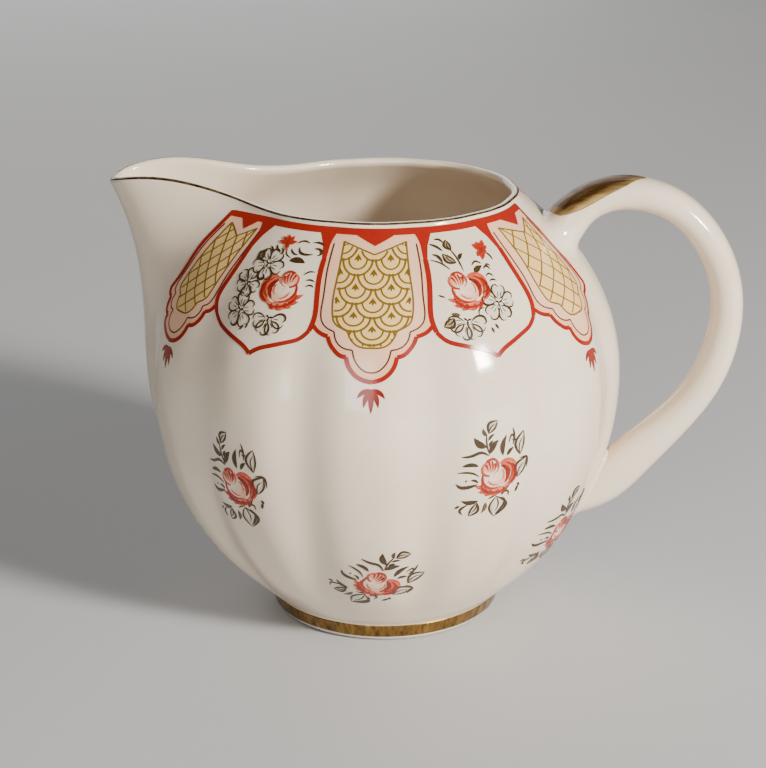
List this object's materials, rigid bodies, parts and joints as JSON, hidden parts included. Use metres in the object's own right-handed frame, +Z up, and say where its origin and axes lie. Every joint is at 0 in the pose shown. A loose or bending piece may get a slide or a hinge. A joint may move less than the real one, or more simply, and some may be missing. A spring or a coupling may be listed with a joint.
{
  "type": "porcelain cream jug",
  "caption": "Round lobed porcelain cream jug with a pulled spout, a looped handle, gilt edges and fired floral transfers; it stands free on its foot ring.",
  "frame": {"origin": "centre of the foot ring's resting face", "axes": "+Z up; the spout points along -X and the handle along +X; the decorated sides face -Y and +Y"},
  "size_m": [0.1272, 0.0958, 0.0917],
  "materials": {
    "glazed_porcelain": "warm white porcelain under a clear, very glossy glaze",
    "fired_gold": "thin fired gold, burnished, worn soft at its edges",
    "collar_transfer": "fired overglaze transfer in red, peach, cream and olive",
    "sprig_transfer": "fired overglaze transfer of a rose with dark leaves"
  },
  "bodies": {
    "root": {"jug_body": "glazed_porcelain", "handle": "glazed_porcelain", "upper_luting_joint": "glazed_porcelain", "lower_luting_joint": "glazed_porcelain", "rim_gilding": "fired_gold", "foot_gilding": "fired_gold", "handle_gilding": "fired_gold", "front_collar_transfer": "collar_transfer", "back_collar_transfer": "collar_transfer", "front_sprig_transfers": "sprig_transfer", "back_sprig_transfers": "sprig_transfer"}
  },
  "joints": []
}
